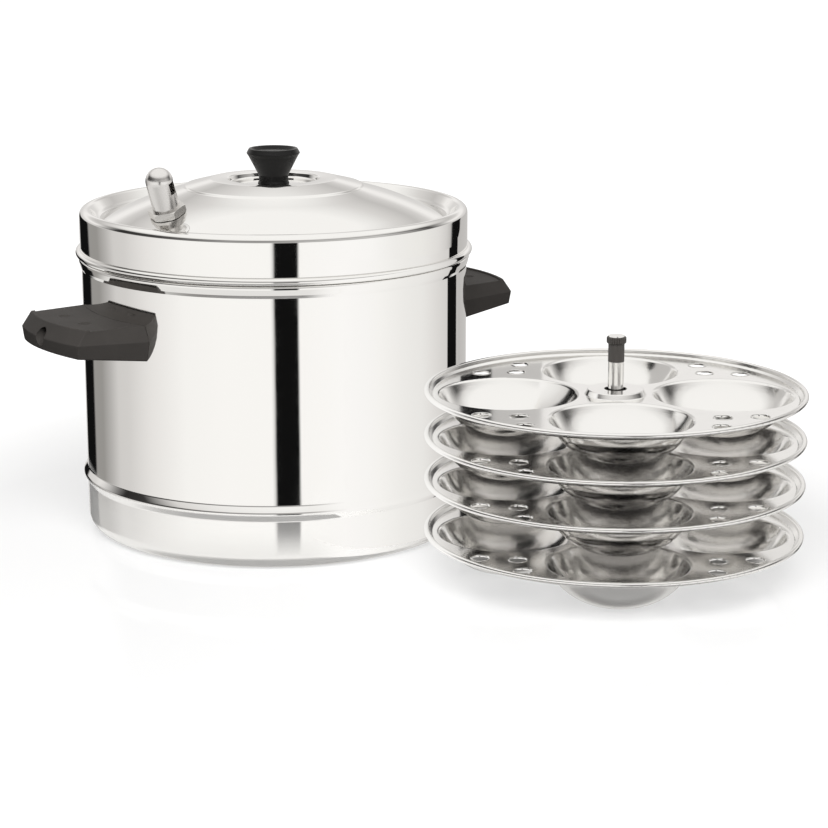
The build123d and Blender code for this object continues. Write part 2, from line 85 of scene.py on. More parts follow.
def node(tree, kind, settings=None, inputs=None):
    """Adds a node. Each input is a plain value, or the output that feeds it."""
    made = tree.nodes.new(kind)
    for name, value in (settings or {}).items():
        setattr(made, name, value)
    for key, value in (inputs or {}).items():
        if isinstance(value, bpy.types.NodeSocket):
            tree.links.new(value, made.inputs[key])
        else:
            made.inputs[key].default_value = value
    return made


def ramp(made, stops):
    """Sets a colour ramp's stops from pairs of place and colour."""
    elements = made.color_ramp.elements
    while len(elements) > 1:
        elements.remove(elements[-1])
    for index, (place, shade) in enumerate(stops):
        element = elements[0] if index == 0 else elements.new(place)
        element.position = place
        element.color = shade
    return made


def middle(name):
    """The middle of a CAD node's box, in metres."""
    low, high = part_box(name)
    return (low + high) / 2


print("steel white in linear light:", [round(c, 3) for c in colour("#F2F1EF")])

# %% [markdown]
# ## The studio
# Polished steel has almost no colour of its own: it shows the room. Photographers stand white cards
# round it, and narrow black ones between them to draw the dark stripes that make it read as metal.
# Here the world plays the cards. Its brightness goes round with the compass bearing, as bands, and
# gives way to a pale floor below and a bright ceiling above. The camera itself sees plain white.

# %% Cards round the set
pot_to_camera = atan2(camera.location.y, camera.location.x)
card_bands = [
    (-180.0, "#D2D0CE"),
    (-165.0, "#D2D0CE"),
    (-164.0, "#101010"),
    (-141.0, "#101010"),
    (-140.0, "#94928F"),
    (-127.0, "#94928F"),
    (-116.0, "#B4B2B0"),
    (-108.0, "#CDCBC9"),
    (-98.0, "#D0CECC"),
    (-80.0, "#E4E2E0"),
    (-55.0, "#F4F3F1"),
    (-30.0, "#F7F6F4"),
    (-1.6, "#F7F6F4"),
    (-0.8, "#101010"),
    (13.0, "#101010"),
    (13.8, "#F7F6F4"),
    (42.0, "#F9F8F7"),
    (58.0, "#F7F6F5"),
    (74.0, "#EEEDEB"),
    (95.0, "#E9E8E5"),
    (112.0, "#DEDCDA"),
    (122.0, "#CECCCA"),
    (127.5, "#B8B6B4"),
    (129.0, "#101010"),
    (142.5, "#101010"),
    (143.5, "#BAB8B6"),
    (165.0, "#C0BEBC"),
    (180.0, "#D2D0CE"),
]
world = bpy.data.worlds.new("studio_cards")
bpy.context.scene.world = world
world.use_nodes = True
sky = world.node_tree
sky.nodes.clear()
direction = node(sky, "ShaderNodeTexCoord").outputs["Generated"]
split = node(sky, "ShaderNodeSeparateXYZ", inputs={0: direction})
bearing = node(
    sky,
    "ShaderNodeMath",
    {"operation": "ARCTAN2"},
    {0: split.outputs["Y"], 1: split.outputs["X"]},
)
turned_bearing = node(
    sky,
    "ShaderNodeMath",
    {"operation": "MULTIPLY_ADD"},
    {0: bearing.outputs[0], 1: 1 / (2 * pi), 2: 0.5 - pot_to_camera / (2 * pi)},
)
around = node(sky, "ShaderNodeMath", {"operation": "FRACT"}, {0: turned_bearing.outputs[0]})
cards = ramp(
    node(sky, "ShaderNodeValToRGB", inputs={0: around.outputs[0]}),
    [((angle + 180.0) / 360.0, colour(code)) for angle, code in card_bands],
)
# Below the horizon the bands give way to the pale floor of the room, and straight down to the shade
# under the table, which darkens the undersides of the rolled edges and of the cups.
tilt = node(sky, "ShaderNodeMath", {"operation": "ABSOLUTE"}, {0: split.outputs["Z"]})
to_floor = node(
    sky,
    "ShaderNodeMapRange",
    {"interpolation_type": "SMOOTHSTEP"},
    {"Value": tilt.outputs[0], "From Min": 0.33, "From Max": 0.41},
)
room_floor = ramp(
    node(sky, "ShaderNodeValToRGB", inputs={0: tilt.outputs[0]}),
    [
        (0.66, colour("#E2E1DF")),
        (0.78, colour("#8C8A88")),
        (0.88, colour("#3E3D3C")),
        (1.0, colour("#3E3D3C")),
    ],
)
lower = node(
    sky,
    "ShaderNodeMix",
    {"data_type": "RGBA"},
    {0: to_floor.outputs[0], 6: cards.outputs[0], 7: room_floor.outputs[0]},
)
# Above it a pale screen behind the set grows brighter towards the ceiling.
screen = ramp(
    node(sky, "ShaderNodeValToRGB", inputs={0: split.outputs["Z"]}),
    [
        (0.0, colour("#CFCDCB")),
        (0.12, colour("#D6D4D2")),
        (0.21, colour("#ECEAE8")),
        (0.26, colour("#ECEAE8")),
        (0.33, colour("#D0CECC")),
        (0.42, colour("#BEBCBA")),
        (0.56, colour("#D6D4D2")),
        (0.63, colour("#E6E5E3")),
        (0.70, colour("#F3F2F0")),
        (1.0, colour("#F4F3F1")),
    ],
)
# On the camera's side the room is dark between the cards and the ceiling, which draws the thin dark
# lines along each rolled edge. A window on the right makes them fainter there.
gap_depth = [
    (-130.0, 0.0),
    (-105.0, 1.0),
    (-70.0, 0.95),
    (-46.0, 0.8),
    (-27.0, 0.6),
    (-8.0, 0.6),
    (8.0, 0.55),
    (20.0, 0.4),
    (65.0, 0.3),
    (85.0, 0.6),
    (105.0, 0.95),
    (130.0, 0.0),
]
camera_side = ramp(
    node(sky, "ShaderNodeValToRGB", inputs={0: around.outputs[0]}),
    [((angle + 180.0) / 360.0, (depth, depth, depth, 1.0)) for angle, depth in gap_depth],
)
gap = ramp(
    node(sky, "ShaderNodeValToRGB", inputs={0: split.outputs["Z"]}),
    [
        (0.02, (0.0, 0.0, 0.0, 1.0)),
        (0.07, (1.0, 1.0, 1.0, 1.0)),
        (0.45, (1.0, 1.0, 1.0, 1.0)),
        (0.56, (0.0, 0.0, 0.0, 1.0)),
    ],
)
dark_share = node(
    sky,
    "ShaderNodeMath",
    {"operation": "MULTIPLY"},
    {0: camera_side.outputs[0], 1: gap.outputs[0]},
)
upper = node(
    sky,
    "ShaderNodeMix",
    {"data_type": "RGBA"},
    {0: dark_share.outputs[0], 6: screen.outputs[0], 7: colour("#2C2B2A")},
)
is_upper = node(
    sky,
    "ShaderNodeMapRange",
    {"interpolation_type": "SMOOTHSTEP"},
    {"Value": split.outputs["Z"], "From Min": -0.02, "From Max": 0.02},
)
even = node(
    sky,
    "ShaderNodeMix",
    {"data_type": "RGBA"},
    {0: is_upper.outputs[0], 6: lower.outputs[2], 7: upper.outputs[2]},
)
card_strength = 1.09
dull_loss = 0.75
rays = node(sky, "ShaderNodeLightPath")
# Dull faces get less of it than mirrors do, so that the lamp can shape them.
dull_share = node(
    sky,
    "ShaderNodeMath",
    {"operation": "MULTIPLY_ADD"},
    {0: rays.outputs["Is Diffuse Ray"], 1: -dull_loss, 2: card_strength},
)
card_light = node(
    sky,
    "ShaderNodeBackground",
    inputs={"Color": even.outputs[2], "Strength": dull_share.outputs[0]},
)
plain_white = node(sky, "ShaderNodeBackground", inputs={"Color": colour("#FFFFFF"), "Strength": 1.0})
seen = node(
    sky,
    "ShaderNodeMixShader",
    inputs={0: rays.outputs["Is Camera Ray"], 1: card_light.outputs[0], 2: plain_white.outputs[0]},
)
node(sky, "ShaderNodeOutputWorld", inputs={0: seen.outputs[0]})
print("card bands:", len(card_bands))

# %% [markdown]
# One large soft lamp stands high in front of the set. It is there for the dark plastic, which the
# cards light too evenly: the faces that slope towards the camera come out palest, as in the photo.

# %% Lamp and floor
lamp_data = bpy.data.lights.new("front_softbox", "AREA")
lamp_data.shape = "RECTANGLE"
lamp_data.size = 1.6
lamp_data.size_y = 0.9
lamp_data.energy = 46.0
lamp = bpy.data.objects.new("front_softbox", lamp_data)
lamp.location = (-0.72, -1.2, 1.25)
lamp.rotation_euler = (Vector((0.0, 0.0, 0.1)) - lamp.location).to_track_quat("-Z", "Y").to_euler()
lamp.visible_glossy = False
bpy.context.scene.collection.objects.link(lamp)

floor_mesh = bpy.data.meshes.new("studio_floor")
floor_mesh.from_pydata(
    [(-9.0, -9.0, -0.0003), (9.0, -9.0, -0.0003), (9.0, 9.0, -0.0003), (-9.0, 9.0, -0.0003)],
    [],
    [(0, 1, 2, 3)],
)
floor = bpy.data.objects.new("studio_floor", floor_mesh)
bpy.context.scene.collection.objects.link(floor)
floor_paint = bpy.data.materials.new("white_acrylic_sheet")
floor_paint.use_nodes = True
tree = floor_paint.node_tree
tree.nodes.clear()
sheet_face = node(
    tree,
    "ShaderNodeBsdfPrincipled",
    inputs={"Base Color": colour("#F4F4F4"), "Roughness": 0.28, "Specular IOR Level": 0.35},
)
# The camera sees the same sheet with a painted glow added, so that its shadows are pale and its far end is
# white.
seen_face = node(tree, "ShaderNodeBsdfDiffuse", inputs={"Color": colour("#9A9A9A")})
sheen = node(tree, "ShaderNodeBsdfGlossy", inputs={"Color": colour("#454545"), "Roughness": 0.06})
spot = node(tree, "ShaderNodeTexCoord").outputs["Object"]
from_set = node(tree, "ShaderNodeVectorMath", {"operation": "DISTANCE"}, {0: spot, 1: (0.0, -0.1, 0.0)})
# Painted glow: weaker near the pot and the rack, which paints a soft shade round them, and stronger far off,
# where the lamp's light fades.
painted_glow_share = node(
    tree,
    "ShaderNodeMapRange",
    inputs={
        "Value": from_set.outputs["Value"],
        "From Min": 0.27,
        "From Max": 0.6,
        "To Min": 0.58,
        "To Max": 0.97,
    },
)
painted_sheet_glow = node(
    tree,
    "ShaderNodeEmission",
    inputs={"Color": colour("#FFFFFF"), "Strength": painted_glow_share.outputs[0]},
)
seen_gloss = node(tree, "ShaderNodeAddShader", inputs={0: seen_face.outputs[0], 1: sheen.outputs[0]})
seen_sheet = node(tree, "ShaderNodeAddShader", inputs={0: seen_gloss.outputs[0], 1: painted_sheet_glow.outputs[0]})
floor_rays = node(tree, "ShaderNodeLightPath")
# Soft light from below would fill the undersides, so the sheet gives little of it back.
dim_face = node(tree, "ShaderNodeBsdfDiffuse", inputs={"Color": colour("#3A3A3A")})
plain_sheet = node(
    tree,
    "ShaderNodeMixShader",
    inputs={0: floor_rays.outputs["Is Diffuse Ray"], 1: sheet_face.outputs[0], 2: dim_face.outputs[0]},
)
lit_sheet = node(
    tree,
    "ShaderNodeMixShader",
    inputs={0: floor_rays.outputs["Is Camera Ray"], 1: plain_sheet.outputs[0], 2: seen_sheet.outputs[0]},
)
# Reflections see the sheet only near the pot and the rack. Past that they see the cards.
rod_axis = middle("rack_rod")
near_pot = node(tree, "ShaderNodeVectorMath", {"operation": "DISTANCE"}, {0: spot, 1: (0.0, 0.0, 0.0)})
near_rack = node(
    tree,
    "ShaderNodeVectorMath",
    {"operation": "DISTANCE"},
    {0: spot, 1: (rod_axis.x, rod_axis.y, 0.0)},
)
pot_share = ramp(
    node(tree, "ShaderNodeValToRGB", inputs={0: near_pot.outputs["Value"]}),
    [
        (0.110, (0.6, 0.6, 0.6, 1.0)),
        (0.150, (0.6, 0.6, 0.6, 1.0)),
        (0.200, (0.75, 0.75, 0.75, 1.0)),
        (0.216, (1.0, 1.0, 1.0, 1.0)),
    ],
)
rack_share = ramp(
    node(tree, "ShaderNodeValToRGB", inputs={0: near_rack.outputs["Value"]}),
    [(0.060, (0.6, 0.6, 0.6, 1.0)), (0.190, (1.0, 1.0, 1.0, 1.0))],
)
past_both = node(
    tree,
    "ShaderNodeMath",
    {"operation": "MINIMUM"},
    {0: pot_share.outputs[0], 1: rack_share.outputs[0]},
)
gone = node(
    tree,
    "ShaderNodeMath",
    {"operation": "MULTIPLY"},
    {0: past_both.outputs[0], 1: floor_rays.outputs["Is Glossy Ray"]},
)
clear = node(tree, "ShaderNodeBsdfTransparent")
sheet = node(
    tree,
    "ShaderNodeMixShader",
    inputs={0: gone.outputs[0], 1: lit_sheet.outputs[0], 2: clear.outputs[0]},
)
node(tree, "ShaderNodeOutputMaterial", inputs={0: sheet.outputs[0]})
floor.data.materials.append(floor_paint)
bpy.context.scene.view_settings.view_transform = "Standard"
print("floor and lamp set")

# %% [markdown]
# ## A card between the pot and the rack
# Two mirrors that stand close together fill each other with dark shapes. A photographer either takes
# them one at a time or slips a card between them. This card stands in the narrow gap. Only reflections
# see it: the camera, the shadows and the soft light pass through. Its shades go on from the bands
# behind it, so that no edge of it shows in the pot's wall.

# %% The card in the gap
gap_bearing = atan2(rod_axis.y, rod_axis.x)
out = Vector((cos(gap_bearing), sin(gap_bearing), 0.0))
along = Vector((-sin(gap_bearing), cos(gap_bearing), 0.0))
gap_distance = 113.45 * MM
card_half_width = 118.0 * MM
card_foot = -40.0 * MM
card_top = 166.0 * MM
up = Vector((0.0, 0.0, 1.0))
card_corners = [
    out * gap_distance + along * card_half_width * side + up * height
    for side, height in ((-1, card_foot), (1, card_foot), (1, card_top), (-1, card_top))
]
card_mesh = bpy.data.meshes.new("gap_card")
card_mesh.from_pydata(card_corners, [], [(0, 1, 2, 3)])
gap_card = bpy.data.objects.new("gap_card", card_mesh)
bpy.context.scene.collection.objects.link(gap_card)
gap_card.visible_camera = False
gap_card.visible_diffuse = False
gap_card.visible_shadow = False
gap_card.visible_transmission = False
card_paint = bpy.data.materials.new("graded_card")
card_paint.use_nodes = True
tree = card_paint.node_tree
tree.nodes.clear()
card_shades = [
    (-118.0, "#F8F7F5"),
    (-76.0, "#F9F8F7"),
    (-56.0, "#F6F5F4"),
    (-47.0, "#F4F3F1"),
    (-30.0, "#ECEBE9"),
    (-15.0, "#E7E6E4"),
    (-4.4, "#DEDCDA"),
    (6.0, "#D5D3D1"),
    (14.6, "#D1CFCD"),
    (15.6, "#101010"),
    (52.0, "#101010"),
    (53.5, "#BAB8B6"),
    (118.0, "#BCBAB8"),
]
spot = node(tree, "ShaderNodeTexCoord").outputs["Object"]
sideways = node(tree, "ShaderNodeVectorMath", {"operation": "DOT_PRODUCT"}, {0: spot, 1: along})
share = node(
    tree,
    "ShaderNodeMapRange",
    inputs={"Value": sideways.outputs["Value"], "From Min": -card_half_width, "From Max": card_half_width},
)
shades = ramp(
    node(tree, "ShaderNodeValToRGB", inputs={0: share.outputs[0]}),
    [((place * MM + card_half_width) / (2 * card_half_width), colour(code)) for place, code in card_shades],
)
card_glow = node(tree, "ShaderNodeEmission", inputs={"Color": shades.outputs[0], "Strength": card_strength})
# Its left end is cut to a fringe, so that it fades out instead of ending in an edge.
fringe = node(
    tree,
    "ShaderNodeMapRange",
    {"interpolation_type": "SMOOTHSTEP"},
    {"Value": sideways.outputs["Value"], "From Min": -116.0 * MM, "From Max": -70.0 * MM},
)
no_card = node(tree, "ShaderNodeBsdfTransparent")
fringed = node(
    tree, "ShaderNodeMixShader", inputs={0: fringe.outputs[0], 1: no_card.outputs[0], 2: card_glow.outputs[0]}
)
node(tree, "ShaderNodeOutputMaterial", inputs={0: fringed.outputs[0]})
gap_card.data.materials.append(card_paint)
print("card bearing:", round(degrees(gap_bearing), 1))

# %% [markdown]
# ## Mirror-polished stainless steel
# The pot, lid and plates are spun and pressed from stainless sheet and then buffed on a wheel. A
# buffed face is a mirror with a slight swell from pressing, and hair lines where the wheel ran round
# it. The base colour stays pale and the metallic value is 1. The hair lines are drawn by noise on the
# distance from the piece's own axis and on its height, so they run round, as the wheel did.


# %% Buffed steel
def buffed_steel(name, centre, swell, polish, tint="#F6F5F3"):
    """Steel buffed round an upright axis. centre is that axis in metres, swell the pressed ripple."""
    made = bpy.data.materials.new(name)
    made.use_nodes = True
    tree = made.node_tree
    tree.nodes.clear()
    place = node(tree, "ShaderNodeTexCoord").outputs["Object"]
    centred = node(
        tree,
        "ShaderNodeMapping",
        {"vector_type": "POINT"},
        {0: place, 1: (-centre[0], -centre[1], 0.0)},
    )
    parts = node(tree, "ShaderNodeSeparateXYZ", inputs={0: centred.outputs[0]})
    flat = node(tree, "ShaderNodeCombineXYZ", inputs={0: parts.outputs[0], 1: parts.outputs[1]})
    reach = node(tree, "ShaderNodeVectorMath", {"operation": "LENGTH"}, {0: flat.outputs[0]})
    lines_place = node(tree, "ShaderNodeCombineXYZ", inputs={0: reach.outputs["Value"], 1: parts.outputs[2]})
    # Wheel lines are about 0.1 mm apart; they are drawn 0.6 mm apart so that they show in the render.
    wheel_lines = node(
        tree,
        "ShaderNodeTexNoise",
        {"noise_dimensions": "2D"},
        {"Vector": lines_place.outputs[0], "Scale": 1 / (0.6 * MM), "Detail": 2.0, "Roughness": 0.6},
    )
    # The pressed ripple is some 45 mm across.
    ripple = node(
        tree,
        "ShaderNodeTexNoise",
        {"noise_dimensions": "3D"},
        {"Vector": place, "Scale": 1 / (45.0 * MM), "Detail": 1.0, "Roughness": 0.4},
    )
    # Handling leaves fine smears about 12 mm across, seen only as a change of gloss.
    smears = node(
        tree,
        "ShaderNodeTexNoise",
        {"noise_dimensions": "3D"},
        {"Vector": place, "Scale": 1 / (12.0 * MM), "Detail": 4.0, "Roughness": 0.65},
    )
    gloss = node(
        tree,
        "ShaderNodeMapRange",
        inputs={
            "Value": smears.outputs[0],
            "From Min": 0.35,
            "From Max": 0.7,
            "To Min": polish,
            "To Max": polish + 0.035,
        },
    )
    swelled = node(
        tree,
        "ShaderNodeBump",
        inputs={"Strength": 1.0, "Distance": swell * MM, "Height": ripple.outputs[0]},
    )
    lined = node(
        tree,
        "ShaderNodeBump",
        inputs={
            "Strength": 0.25,
            "Distance": 0.004 * MM,
            "Height": wheel_lines.outputs[0],
            "Normal": swelled.outputs[0],
        },
    )
    metal = node(
        tree,
        "ShaderNodeBsdfPrincipled",
        inputs={
            "Base Color": colour(tint),
            "Metallic": 1.0,
            "Roughness": gloss.outputs[0],
            "Normal": lined.outputs[0],
        },
    )
    node(tree, "ShaderNodeOutputMaterial", inputs={0: metal.outputs[0]})
    return made


pot_steel = buffed_steel("mirror_polished_stainless_pot", (0.0, 0.0), swell=0.06, polish=0.03)
rack_steel = buffed_steel(
    "mirror_polished_stainless_rack",
    (rod_axis.x, rod_axis.y),
    swell=0.05,
    polish=0.13,
)
whistle_axis = middle("whistle_cap")
whistle_steel = buffed_steel(
    "brushed_stainless_whistle",
    (whistle_axis.x, whistle_axis.y),
    swell=0.01,
    polish=0.2,
    tint="#E9E7E5",
)
print("rack's axis in millimetres:", [round(v / MM, 1) for v in rod_axis])

# %% [markdown]
# ## Satin stainless and bright screws
# Nuts, washers and screws are cut from bar and not buffed, so their gloss is softer.


# %% Turned steel
def turned_steel(name, tint, roughness):
    made = bpy.data.materials.new(name)
    made.use_nodes = True
    tree = made.node_tree
    tree.nodes.clear()
    place = node(tree, "ShaderNodeTexCoord").outputs["Object"]
    # Tool marks about 0.4 mm apart.
    marks = node(
        tree,
        "ShaderNodeTexNoise",
        {"noise_dimensions": "3D"},
        {"Vector": place, "Scale": 1 / (0.4 * MM), "Detail": 2.0},
    )
    gloss = node(
        tree,
        "ShaderNodeMapRange",
        inputs={"Value": marks.outputs[0], "To Min": roughness - 0.05, "To Max": roughness + 0.07},
    )
    cut = node(
        tree,
        "ShaderNodeBump",
        inputs={"Strength": 0.3, "Distance": 0.01 * MM, "Height": marks.outputs[0]},
    )
    metal = node(
        tree,
        "ShaderNodeBsdfPrincipled",
        inputs={
            "Base Color": colour(tint),
            "Metallic": 1.0,
            "Roughness": gloss.outputs[0],
            "Normal": cut.outputs[0],
        },
    )
    node(tree, "ShaderNodeOutputMaterial", inputs={0: metal.outputs[0]})
    return made


satin_steel = turned_steel("satin_stainless_bar", "#DEDCD9", 0.22)
screw_steel = turned_steel("bright_screw_steel", "#C9C8C5", 0.3)
brass = turned_steel("turned_brass", "#D9B66A", 0.28)
print("turned metals:", satin_steel.name, screw_steel.name, brass.name)

# %% [markdown]
# ## Moulded phenolic
# The handles and the lid's knob are phenolic, the hard dark plastic of pan handles. It is pressed in a
# steel mould, so its skin is satin and very slightly grained, with no gloss coat.


# %% Phenolic
def phenolic(name, tint, worn_tint, roughness, grain_mm, shine=0.5):
    made = bpy.data.materials.new(name)
    made.use_nodes = True
    tree = made.node_tree
    tree.nodes.clear()
    place = node(tree, "ShaderNodeTexCoord").outputs["Object"]
    grain = node(
        tree,
        "ShaderNodeTexNoise",
        {"noise_dimensions": "3D"},
        {"Vector": place, "Scale": 1 / (grain_mm * MM), "Detail": 3.0, "Roughness": 0.6},
    )
    # The resin's flow clouds the colour over about 15 mm.
    flow = node(
        tree,
        "ShaderNodeTexNoise",
        {"noise_dimensions": "3D"},
        {"Vector": place, "Scale": 1 / (15.0 * MM), "Detail": 3.0, "Distortion": 0.4},
    )
    shade = node(
        tree,
        "ShaderNodeMix",
        {"data_type": "RGBA"},
        {0: flow.outputs[0], 6: colour(tint), 7: colour(worn_tint)},
    )
    gloss = node(
        tree,
        "ShaderNodeMapRange",
        inputs={"Value": grain.outputs[0], "To Min": roughness - 0.06, "To Max": roughness + 0.08},
    )
    skin = node(
        tree,
        "ShaderNodeBump",
        inputs={"Strength": 0.35, "Distance": 0.03 * MM, "Height": grain.outputs[0]},
    )
    plastic = node(
        tree,
        "ShaderNodeBsdfPrincipled",
        inputs={
            "Base Color": shade.outputs[2],
            "Roughness": gloss.outputs[0],
            "Specular IOR Level": shine,
            "Normal": skin.outputs[0],
        },
    )
    node(tree, "ShaderNodeOutputMaterial", inputs={0: plastic.outputs[0]})
    return made


handle_phenolic = phenolic("moulded_phenolic_handle", "#3A3836", "#44413F", 0.5, 0.5, 0.03)
knob_phenolic = phenolic("moulded_phenolic_knob", "#0B0B0B", "#121111", 0.32, 0.4, 0.25)
grip_plastic = phenolic("moulded_plastic_grip", "#353230", "#413E3B", 0.36, 0.4)
seal_rubber = phenolic("silicone_rubber", "#8D8984", "#9A958F", 0.62, 0.6)
print("plastics:", handle_phenolic.name, knob_phenolic.name, grip_plastic.name)

# %% [markdown]
# ## Which piece has which finish
# The CAD pieces whose shape is right keep their own mesh and only get a material.

# %% Dress the CAD pieces
finishes = {
    "left_handle": handle_phenolic,
    "right_handle": handle_phenolic,
    "left_bracket": satin_steel,
    "right_bracket": satin_steel,
    "handle_screws": screw_steel,
    "handle_washers": screw_steel,
    "lid_knob": knob_phenolic,
    "knob_insert": brass,
    "knob_washer": screw_steel,
    "knob_screw": screw_steel,
    "vent_stem": satin_steel,
    "vent_seal": seal_rubber,
    "vent_back_nut": screw_steel,
    "vent_washer": satin_steel,
    "whistle_nut": satin_steel,
    "whistle_cap": whistle_steel,
    "whistle_disc": screw_steel,
    "rack_rod": rack_steel,
    "rod_collar": satin_steel,
    "foot_washer": screw_steel,
    "foot_nut": screw_steel,
    "plate_1": rack_steel,
    "plate_2": rack_steel,
    "plate_3": rack_steel,
    "plate_4": rack_steel,
    "spacer_1": rack_steel,
    "spacer_2": rack_steel,
    "spacer_3": rack_steel,
    "grip_sleeve": grip_plastic,
    "rack_knob": grip_plastic,
    "rack_knob_disc": rack_steel,
}
for name, finish in finishes.items():
    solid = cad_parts[name]
    solid.data.materials.clear()
    solid.data.materials.append(finish)
print("dressed:", len(finishes), "of", len(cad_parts))

# %% [markdown]
# ## Run a Geometry Nodes tree
# Several pieces below follow a rule, so Geometry Nodes make them. A tree runs as a modifier on a small
# mesh that holds what it starts from. Its inputs are filled in by identifier, and its result is
# copied out as a plain mesh of its own.


# %% Run a tree and keep its mesh
def grown(name, tree, settings, start=None):
    """Runs a tree with its inputs given by name, and returns the result as an object."""
    seed = bpy.data.objects.new(name + "_seed", start or bpy.data.meshes.new(name + "_seed"))
    bpy.context.scene.collection.objects.link(seed)
    modifier = seed.modifiers.new(name, "NODES")
    modifier.node_group = tree
    for item in tree.interface.items_tree:
        if item.in_out == "INPUT" and item.name in settings:
            modifier[item.identifier] = settings[item.name]
    evaluated = seed.evaluated_get(bpy.context.evaluated_depsgraph_get())
    mesh = bpy.data.meshes.new_from_object(evaluated)
    bpy.data.objects.remove(seed)
    mesh.name = name
    for face in mesh.polygons:
        face.use_smooth = True
    mesh.set_sharp_from_angle(angle=radians(35.0))
    made = bpy.data.objects.new(name, mesh)
    bpy.context.scene.collection.objects.link(made)
    return made


print("trees can run")

# %% [markdown]
# ## Spun sheet
# The pot and the lid are discs of sheet spun over a former, so every level of them is a true circle.
# The solids show those circles as flat strips. That is near enough for their size, but a mirror breaks
# a highlight on each strip. So both are spun again here with finer steps. The outline of the outer
# face is a few corners, each with its radius, and the inner face runs one thickness inside it. A tree
# rounds the corners with Fillet Curve and sweeps the outline round a circle with Curve to Mesh.


# %% The tree that spins an outline
def spinning_tree():
    """Sweeps a flat outline round Z. The outline's points carry their corner radius as an attribute."""
    tree = bpy.data.node_groups.new("spun_sheet", "GeometryNodeTree")
    tree.interface.new_socket("Geometry", in_out="INPUT", socket_type="NodeSocketGeometry")
    tree.interface.new_socket("Path Reach", in_out="INPUT", socket_type="NodeSocketFloat")
    tree.interface.new_socket("Steps", in_out="INPUT", socket_type="NodeSocketInt")
    tree.interface.new_socket("Corner Steps", in_out="INPUT", socket_type="NodeSocketInt")
    tree.interface.new_socket("Finish", in_out="INPUT", socket_type="NodeSocketMaterial")
    tree.interface.new_socket("Geometry", in_out="OUTPUT", socket_type="NodeSocketGeometry")
    given = node(tree, "NodeGroupInput").outputs
    outline = node(tree, "GeometryNodeMeshToCurve", inputs={0: given["Geometry"]})
    corner = node(tree, "GeometryNodeInputNamedAttribute", {"data_type": "FLOAT"}, {"Name": "corner_radius"})
    rounded = node(
        tree,
        "GeometryNodeFilletCurve",
        {"mode": "POLY"},
        {"Curve": outline.outputs[0], "Count": given["Corner Steps"], "Radius": corner.outputs[0]},
    )
    path = node(
        tree,
        "GeometryNodeCurvePrimitiveCircle",
        inputs={"Resolution": given["Steps"], "Radius": given["Path Reach"]},
    )
    swept = node(
        tree,
        "GeometryNodeCurveToMesh",
        inputs={0: path.outputs[0], "Profile Curve": rounded.outputs[0]},
    )
    closed = node(tree, "GeometryNodeMergeByDistance", inputs={0: swept.outputs[0], "Distance": 0.001 * MM})
    real = node(tree, "GeometryNodeRealizeInstances", inputs={0: closed.outputs[0]})
    painted = node(tree, "GeometryNodeSetMaterial", inputs={0: real.outputs[0], "Material": given["Finish"]})
    node(tree, "NodeGroupOutput", inputs={0: painted.outputs[0]})
    return tree


spun_sheet = spinning_tree()
print("spinning tree nodes:", len(spun_sheet.nodes))


# %% Outlines of sheet
def sheet_outline(corners, radii, sheet, inward):
    """Closes the line of an outer face with the line of the inner one. inward is 1 to the left, -1 right."""
    points = [Vector(corner) for corner in corners]
    runs = [(b - a).normalized() for a, b in zip(points, points[1:])]
    sides = [Vector((-run.y, run.x)) * inward * sheet for run in runs]
    inner = [points[0] + sides[0]]
    inner_radii = [0.0]
    for place in range(1, len(points) - 1):
        turn = runs[place - 1].cross(runs[place])
        slide = (sides[place] - sides[place - 1]).cross(runs[place]) / turn
        inner.append(points[place] + sides[place - 1] + runs[place - 1] * slide)
        bend = sheet if turn * inward < 0 else -sheet
        inner_radii.append(max(radii[place - 1] + bend, 0.0))
    inner.append(points[-1] + sides[-1])
    inner_radii.append(0.0)
    outline = [tuple(point) for point in points] + [tuple(point) for point in reversed(inner)]
    return outline, [0.0] + list(radii) + [0.0] + inner_radii[::-1]


def spun(name, outlines, finish, path_reach, steps=320, corner_steps=7):
    """Spins closed outlines of (reach, height) corners in millimetres into one piece."""
    points, edges, rounds = [], [], []
    for corners, radii in outlines:
        area = sum(a[0] * b[1] - b[0] * a[1] for a, b in zip(corners, corners[1:] + corners[:1]))
        order = range(len(corners)) if area < 0 else range(len(corners) - 1, -1, -1)
        first = len(points)
        for place in order:
            reach, height = corners[place]
            points.append(((reach - path_reach) * MM, -height * MM, 0.0))
            rounds.append(radii[place] * MM)
        edges += [(at, at + 1) for at in range(first, len(points) - 1)]
        on_axis = min(corners[0][0], corners[-1][0]) == 0.0
        if not on_axis:
            edges.append((len(points) - 1, first))
    start = bpy.data.meshes.new(name + "_outline")
    start.from_pydata(points, edges, [])
    start.attributes.new("corner_radius", "FLOAT", "POINT").data.foreach_set("value", rounds)
    settings = {"Path Reach": path_reach * MM, "Steps": steps, "Corner Steps": corner_steps, "Finish": finish}
    return grown(name, spun_sheet, settings, start)


def compare(piece, name):
    """Prints how far a piece's box is from its CAD node's, in millimetres."""
    low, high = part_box(name)
    mine = [[corner[axis] for corner in piece.bound_box] for axis in range(3)]
    off = [round((min(v) - low[axis]) / MM, 3) for axis, v in enumerate(mine)]
    off += [round((max(v) - high[axis]) / MM, 3) for axis, v in enumerate(mine)]
    print(piece.name, "faces:", len(piece.data.polygons), "off its solid by", off)


# %% [markdown]
# ## The pot
# The pot has a wide radius at its foot, a pressed rib that stiffens the wall, and a rim rolled outward
# over a wire. Its wall is 1 mm thick, which shows at the rim when the lid is off.

